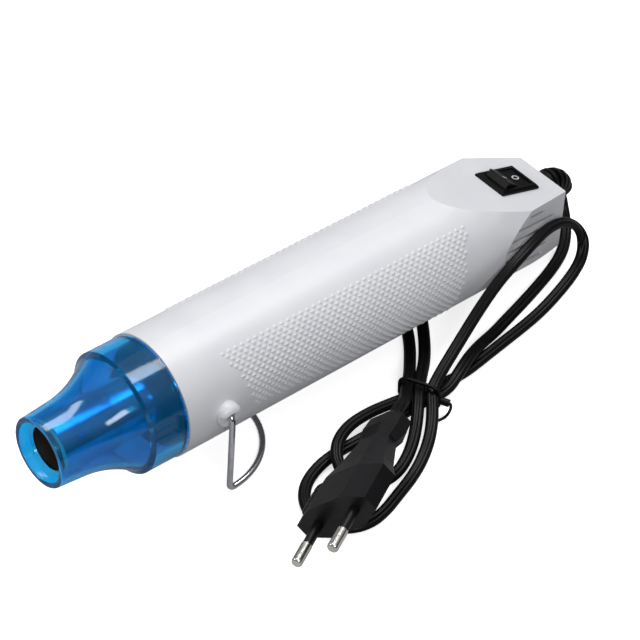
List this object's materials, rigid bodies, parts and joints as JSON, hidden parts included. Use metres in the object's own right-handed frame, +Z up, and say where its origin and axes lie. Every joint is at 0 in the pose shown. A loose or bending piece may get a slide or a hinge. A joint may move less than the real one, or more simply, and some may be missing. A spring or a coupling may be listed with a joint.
{
  "type": "embossing heat tool",
  "caption": "Slim hand-held hot-air tool with blue nozzle cover, rear rocker switch, folding wire stand and tied two-pin mains cord",
  "frame": {"origin": "on the table under the middle of the tool as it rests on its stand, cord apart", "axes": "+Z up, +Y across the tool, +X from the nozzle toward the tail"},
  "size_m": [0.2464, 0.1192, 0.0591],
  "materials": {
    "white_plastic": "satin moulded",
    "blue_plastic": "translucent, polished",
    "polished_steel": "polished",
    "mica": "pressed sheet",
    "heating_wire": "drawn wire",
    "inner_plastic": "heat-resisting moulding",
    "motor_steel": "plated",
    "board": "phenolic sheet",
    "black_plastic": "satin moulded",
    "black_rubber": "moulded",
    "black_cord": "smooth sheath",
    "brass": "stamped",
    "nickel": "nickel plated"
  },
  "bodies": {
    "tool": {"body_shell": "white_plastic", "nozzle_cover": "blue_plastic", "heater_barrel": "polished_steel", "mica_sleeve": "mica", "mica_card_flat": "mica", "mica_card_upright": "mica", "heating_coil": "heating_wire", "thermal_cutoff": "polished_steel", "barrel_end_plate": "mica", "front_support_ring": "inner_plastic", "rear_support_ring": "inner_plastic", "motor_can": "motor_steel", "motor_end_cap": "inner_plastic", "rectifier_board": "board", "rectifier_diodes": "black_plastic", "motor_bracket": "inner_plastic", "motor_screws": "motor_steel", "switch_housing": "black_plastic", "switch_terminals": "brass", "cord_inner_end": "black_cord", "motor_leads": "black_cord", "live_lead": "black_cord", "neutral_lead": "black_cord", "switched_lead": "black_cord", "strain_relief": "black_rubber", "cord_lead": "black_cord", "cord_hank": "black_cord", "cord_tail": "black_cord", "twist_tie": "black_cord", "plug_body": "black_plastic", "plug_pin_sleeves": "black_plastic", "plug_pin_tips": "nickel"},
    "stand": {"stand_wire": "polished_steel"},
    "rocker": {"switch_rocker": "black_plastic"},
    "rotor": {"motor_shaft": "motor_steel", "fan_impeller": "inner_plastic"}
  },
  "joints": [
    {"name": "stand_fold", "type": "hinge", "parent": "tool", "child": "stand", "pos_m": [-0.0537, 0, 0.03503], "axis": [0, 1, 0], "range_deg": [0, 90]},
    {"name": "switch_rock", "type": "hinge", "parent": "tool", "child": "rocker", "pos_m": [0.09621, 0, 0.03375], "axis": [0, 1, 0], "range_deg": [-22, 0]},
    {"name": "fan_spin", "type": "hinge", "parent": "tool", "child": "rotor", "pos_m": [0.01849, 0, 0.02942], "axis": [0.9978, 0, -0.0664], "continuous": true}
  ]
}
